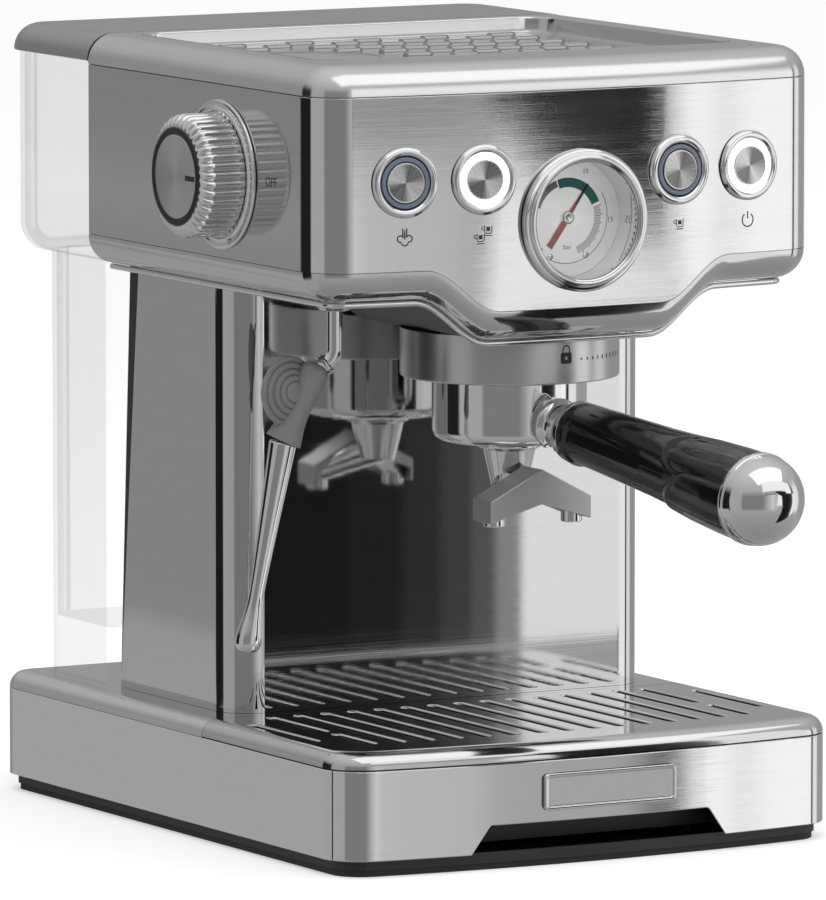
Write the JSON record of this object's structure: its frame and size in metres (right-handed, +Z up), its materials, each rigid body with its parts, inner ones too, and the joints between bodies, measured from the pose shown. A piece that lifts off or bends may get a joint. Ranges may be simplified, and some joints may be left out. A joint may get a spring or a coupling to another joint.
{
  "type": "pump espresso machine",
  "caption": "Steel pump espresso machine with a locked-in portafilter, swivelling steam pipe, pressure gauge, drip drawer and clear lift-out water tank.",
  "frame": {"origin": "on the table, under the middle of the base", "axes": "+X right seen from the front, -Y out of the front, +Z up"},
  "size_m": [0.2839, 0.4657, 0.3632],
  "materials": {
    "case_steel": "brushed, satin",
    "chrome": "polished",
    "steel": "fine satin",
    "satin_alloy": "fine turned satin",
    "brass": "turned",
    "rubber": "matt",
    "black_plastic": "fine grain",
    "dark_plastic": "fine grain",
    "gloss_black": "polished",
    "grip_grey": "soft touch",
    "dial_face": "silver print ground",
    "needle_red": "satin",
    "clear_glass": "clear",
    "clear_plastic": "clear moulded plastic",
    "light_lens": "diffusing",
    "board_green": "lacquered board",
    "line_plastic": "translucent"
  },
  "bodies": {
    "chassis": {"foot_ring": "rubber", "bottom_pan": "black_plastic", "pan_screws": "steel", "base_shell": "case_steel", "tank_seat": "black_plastic", "cord_gland": "black_plastic", "column_shell": "case_steel", "column_back": "black_plastic", "left_side_panel": "case_steel", "right_side_panel": "case_steel", "front_fascia": "case_steel", "top_cover": "case_steel", "cup_tray": "case_steel", "lower_trim": "case_steel", "trim_bead": "chrome", "head_floor": "dark_plastic", "rear_panel": "black_plastic", "knob_plate": "chrome", "steam_valve": "brass", "gauge_case": "chrome", "gauge_dial": "dial_face", "gauge_glass": "clear_glass", "button_bezels": "chrome", "light_rings": "light_lens", "control_board": "board_green", "group_collar": "satin_alloy", "group_head": "brass", "shower_screen": "steel", "group_gasket": "rubber", "boiler": "satin_alloy", "pump": "dark_plastic", "pump_mounts": "rubber", "water_lines": "line_plastic", "wand_socket": "chrome"},
    "drip_drawer": {"tray_front": "case_steel", "nameplate": "chrome", "drip_tray": "black_plastic"},
    "grid": {"drip_grid": "case_steel"},
    "steam_knob_turned": {"steam_knob": "chrome", "knob_ring": "gloss_black", "knob_disc": "case_steel", "valve_spindle": "brass"},
    "needle": {"gauge_needle": "needle_red"},
    "button_steam": {"steam_button": "case_steel"},
    "button_double": {"double_button": "case_steel"},
    "button_single": {"single_button": "case_steel"},
    "button_power": {"power_button": "case_steel"},
    "portafilter": {"bowl": "chrome", "filter_basket": "steel", "handle_neck": "chrome", "handle_grip": "gloss_black", "handle_cap": "chrome", "double_spout": "chrome"},
    "steam_wand": {"steam_pipe": "steel", "wand_nut": "chrome", "wand_grip": "grip_grey", "wand_tube": "chrome"},
    "tank": {"water_tank": "clear_plastic", "lid_pins": "steel"},
    "lid": {"tank_lid": "case_steel"}
  },
  "joints": [
    {"name": "drawer_slide", "type": "slide", "parent": "chassis", "child": "drip_drawer", "axis": [0, -1, 0], "range_m": [0, 0.14]},
    {"name": "grid_lift", "type": "slide", "parent": "drip_drawer", "child": "grid", "axis": [0, 0, 1], "range_m": [0, 0.03]},
    {"name": "steam_knob_turn", "type": "hinge", "parent": "chassis", "child": "steam_knob_turned", "pos_m": [-0.13, -0.049, 0.3084], "axis": [1, 0, 0], "range_deg": [0, 90]},
    {"name": "needle_swing", "type": "hinge", "parent": "chassis", "child": "needle", "pos_m": [0, -0.152, 0.29], "axis": [0, 1, 0], "range_deg": [-160, 95]},
    {"name": "steam_press", "type": "slide", "parent": "chassis", "child": "button_steam", "axis": [0.1119, 0.9937, 0], "range_m": [0, 0.0015], "stiffness_N_per_m": 600},
    {"name": "double_press", "type": "slide", "parent": "chassis", "child": "button_double", "axis": [0.0635, 0.998, 0], "range_m": [0, 0.0015], "stiffness_N_per_m": 600},
    {"name": "single_press", "type": "slide", "parent": "chassis", "child": "button_single", "axis": [-0.0635, 0.998, 0], "range_m": [0, 0.0015], "stiffness_N_per_m": 600},
    {"name": "power_press", "type": "slide", "parent": "chassis", "child": "button_power", "axis": [-0.1119, 0.9937, 0], "range_m": [0, 0.0015], "stiffness_N_per_m": 600},
    {"name": "bayonet_turn", "type": "hinge", "parent": "chassis", "child": "portafilter", "pos_m": [0, -0.0853, 0.2205], "axis": [0, 0, 1], "range_deg": [0, 45]},
    {"name": "wand_swing", "type": "hinge", "parent": "chassis", "child": "steam_wand", "pos_m": [-0.0985, -0.0985, 0.25], "axis": [0, 0, 1], "range_deg": [-20, 120]},
    {"name": "tank_lift", "type": "slide", "parent": "chassis", "child": "tank", "axis": [0, 0, 1], "range_m": [0, 0.12]},
    {"name": "lid_turn", "type": "hinge", "parent": "tank", "child": "lid", "pos_m": [0, 0.167, 0.3495], "axis": [-1, 0, 0], "range_deg": [0, 85]}
  ]
}
